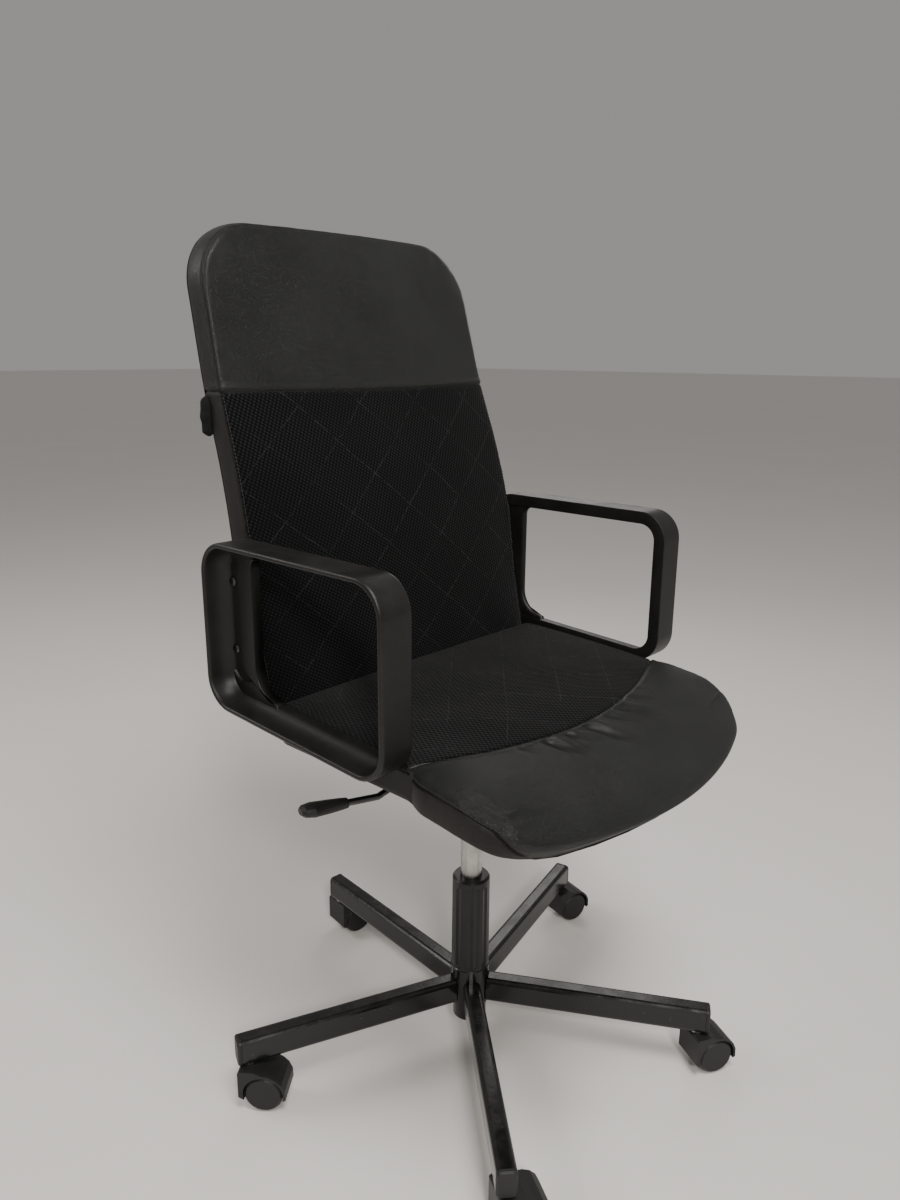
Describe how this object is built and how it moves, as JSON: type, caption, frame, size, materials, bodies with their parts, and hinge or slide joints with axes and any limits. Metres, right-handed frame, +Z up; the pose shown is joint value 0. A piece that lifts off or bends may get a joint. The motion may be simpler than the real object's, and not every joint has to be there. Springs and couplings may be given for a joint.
{
  "type": "swivel office chair",
  "caption": "High-back swivel office chair with closed-loop armrests, a gas-lift column, a tilt mechanism, a release lever and a star base on twin-wheel casters.",
  "frame": {"origin": "on the floor, under the middle of the chair's footprint, 24 mm from the swivel axis", "axes": "+Z up, the sitter looks along -Y, the sitter's left is +X"},
  "size_m": [0.6505, 0.6286, 1.058],
  "materials": {
    "black_paint": "gloss",
    "black_plastic": "satin",
    "bright_steel": "satin",
    "plywood": "matte",
    "black_leather": "satin",
    "black_fabric": "matte"
  },
  "bodies": {
    "base": {"hub": "black_paint", "column_sleeve": "black_plastic", "leg_1": "black_paint", "leg_2": "black_paint", "leg_3": "black_paint", "leg_4": "black_paint", "leg_5": "black_paint", "leg_cap_1": "black_plastic", "leg_cap_2": "black_plastic", "leg_cap_3": "black_plastic", "leg_cap_4": "black_plastic", "leg_cap_5": "black_plastic", "caster_stem_1": "bright_steel", "caster_stem_2": "bright_steel", "caster_stem_3": "bright_steel", "caster_stem_4": "bright_steel", "caster_stem_5": "bright_steel"},
    "gas_rod": {"piston_rod": "bright_steel"},
    "mechanism": {"gas_cylinder": "bright_steel", "mechanism_housing": "black_paint", "torsion_bar": "bright_steel"},
    "release_button": {"release_button": "bright_steel"},
    "lever": {"lever_rod": "bright_steel", "lever_grip": "black_plastic"},
    "tension_knob": {"tension_knob": "black_plastic"},
    "seat": {"seat_bracket": "black_paint", "seat_board": "plywood", "seat_cushion": "black_leather", "back_board": "plywood", "back_cushion": "black_leather", "back_cover": "black_fabric", "armrest_left": "black_plastic", "armrest_right": "black_plastic", "back_bolt_left_1": "bright_steel", "back_bolt_left_2": "bright_steel", "back_bolt_right_1": "bright_steel", "back_bolt_right_2": "bright_steel"},
    "caster_1": {"caster_hood_1": "black_plastic", "caster_axle_1": "bright_steel"},
    "wheel_1a": {"wheel_1a": "black_plastic"},
    "wheel_1b": {"wheel_1b": "black_plastic"},
    "caster_2": {"caster_hood_2": "black_plastic", "caster_axle_2": "bright_steel"},
    "wheel_2a": {"wheel_2a": "black_plastic"},
    "wheel_2b": {"wheel_2b": "black_plastic"},
    "caster_3": {"caster_hood_3": "black_plastic", "caster_axle_3": "bright_steel"},
    "wheel_3a": {"wheel_3a": "black_plastic"},
    "wheel_3b": {"wheel_3b": "black_plastic"},
    "caster_4": {"caster_hood_4": "black_plastic", "caster_axle_4": "bright_steel"},
    "wheel_4a": {"wheel_4a": "black_plastic"},
    "wheel_4b": {"wheel_4b": "black_plastic"},
    "caster_5": {"caster_hood_5": "black_plastic", "caster_axle_5": "bright_steel"},
    "wheel_5a": {"wheel_5a": "black_plastic"},
    "wheel_5b": {"wheel_5b": "black_plastic"}
  },
  "joints": [
    {"name": "swivel", "type": "hinge", "parent": "base", "child": "gas_rod", "pos_m": [-0.0243, -0.0092, 0.12], "axis": [0, 0, 1], "continuous": true},
    {"name": "seat_height", "type": "slide", "parent": "gas_rod", "child": "mechanism", "axis": [0, 0, 1], "range_m": [-0.09, 0.02]},
    {"name": "tilt", "type": "hinge", "parent": "mechanism", "child": "seat", "pos_m": [-0.0243, -0.0792, 0.45], "axis": [-1, 0, 0], "range_deg": [0, 12], "stiffness_Nm_per_rad": 140, "springref_deg": -20.05},
    {"name": "lever_lift", "type": "hinge", "parent": "mechanism", "child": "lever", "pos_m": [-0.0678, -0.0092, 0.4405], "axis": [0, 1, 0], "range_deg": [0, 4.5], "stiffness_Nm_per_rad": 1.5, "springref_deg": -11.46},
    {"name": "button_press", "type": "slide", "parent": "mechanism", "child": "release_button", "axis": [0, 0, -1], "range_m": [0, 0.0037], "stiffness_N_per_m": 400},
    {"name": "tension_turn", "type": "hinge", "parent": "mechanism", "child": "tension_knob", "pos_m": [-0.0243, -0.0912, 0.39], "axis": [0, 0, 1], "continuous": true},
    {"name": "caster_swivel_1", "type": "hinge", "parent": "base", "child": "caster_1", "pos_m": [-0.30242, 0.11231, 0.045], "axis": [0, 0, 1], "continuous": true},
    {"name": "wheel_spin_1a", "type": "hinge", "parent": "caster_1", "child": "wheel_1a", "pos_m": [-0.28949, 0.09576, 0.02409], "axis": [0.788, 0.6157, 0], "continuous": true},
    {"name": "wheel_spin_1b", "type": "hinge", "parent": "caster_1", "child": "wheel_1b", "pos_m": [-0.28949, 0.09576, 0.02409], "axis": [0.788, 0.6157, 0], "continuous": true},
    {"name": "caster_swivel_2", "type": "hinge", "parent": "base", "child": "caster_2", "pos_m": [0.00532, 0.29285, 0.045], "axis": [0, 0, 1], "continuous": true},
    {"name": "wheel_spin_2a", "type": "hinge", "parent": "caster_2", "child": "wheel_2a", "pos_m": [0.02611, 0.28993, 0.02409], "axis": [0.1392, 0.9903, 0], "continuous": true},
    {"name": "wheel_spin_2b", "type": "hinge", "parent": "caster_2", "child": "wheel_2b", "pos_m": [0.02611, 0.28993, 0.02409], "axis": [0.1392, 0.9903, 0], "continuous": true},
    {"name": "caster_swivel_3", "type": "hinge", "parent": "base", "child": "caster_3", "pos_m": [0.27212, 0.05597, 0.045], "axis": [0, 0, 1], "continuous": true},
    {"name": "wheel_spin_3a", "type": "hinge", "parent": "caster_3", "child": "wheel_3a", "pos_m": [0.2924, 0.05054, 0.02409], "axis": [0.2588, 0.9659, 0], "continuous": true},
    {"name": "wheel_spin_3b", "type": "hinge", "parent": "caster_3", "child": "wheel_3b", "pos_m": [0.2924, 0.05054, 0.02409], "axis": [0.2588, 0.9659, 0], "continuous": true},
    {"name": "caster_swivel_4", "type": "hinge", "parent": "base", "child": "caster_4", "pos_m": [0.12928, -0.27097, 0.045], "axis": [0, 0, 1], "continuous": true},
    {"name": "wheel_spin_4a", "type": "hinge", "parent": "caster_4", "child": "wheel_4a", "pos_m": [0.14765, -0.28115, 0.02409], "axis": [0.4848, 0.8746, 0], "continuous": true},
    {"name": "wheel_spin_4b", "type": "hinge", "parent": "caster_4", "child": "wheel_4b", "pos_m": [0.14765, -0.28115, 0.02409], "axis": [0.4848, 0.8746, 0], "continuous": true},
    {"name": "caster_swivel_5", "type": "hinge", "parent": "base", "child": "caster_5", "pos_m": [-0.2258, -0.23616, 0.045], "axis": [0, 0, 1], "continuous": true},
    {"name": "wheel_spin_5a", "type": "hinge", "parent": "caster_5", "child": "wheel_5a", "pos_m": [-0.20762, -0.24666, 0.02409], "axis": [0.5, 0.866, 0], "continuous": true},
    {"name": "wheel_spin_5b", "type": "hinge", "parent": "caster_5", "child": "wheel_5b", "pos_m": [-0.20762, -0.24666, 0.02409], "axis": [0.5, 0.866, 0], "continuous": true}
  ],
  "couplings": [
    {"joint": "button_press", "follows": "lever_lift", "m_per_rad": 0.045}
  ]
}
